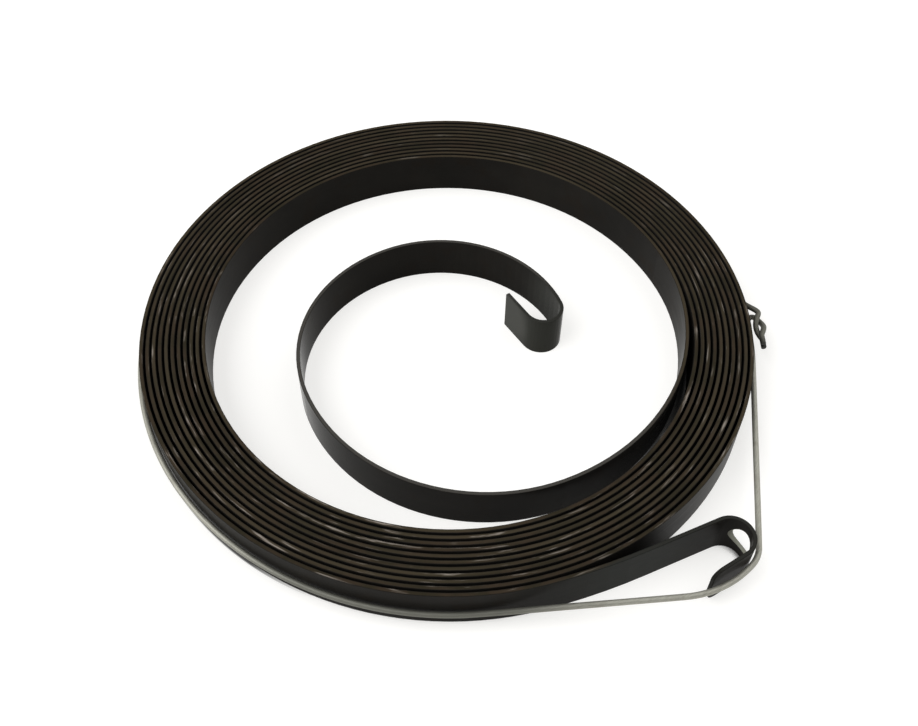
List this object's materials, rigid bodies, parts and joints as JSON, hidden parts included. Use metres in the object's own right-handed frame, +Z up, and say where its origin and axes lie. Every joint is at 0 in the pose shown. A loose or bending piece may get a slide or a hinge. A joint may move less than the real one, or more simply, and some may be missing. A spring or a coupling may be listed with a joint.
{
  "type": "recoil starter spring",
  "caption": "Flat spiral starter spring of dark steel strip, wound into a pack with a free inner turn and a hook at each end, held wound by a twisted tie wire.",
  "frame": {"origin": "coil axis, at the level of the strip's lower edge on which the coil lies", "axes": "+Z up along the coil axis; seen from above, +X points to the side of the coil with the twist of the tie wire and +Y to the side away from the outer hook"},
  "size_m": [0.1078, 0.1055, 0.008],
  "materials": {
    "spring_steel": "dark tempered spring steel, satin, with faint brown tints and worn edges",
    "wire_steel": "dull annealed binding wire, light grey"
  },
  "bodies": {
    "root": {"spring_strip": "spring_steel", "tie_wire": "wire_steel"}
  },
  "joints": []
}
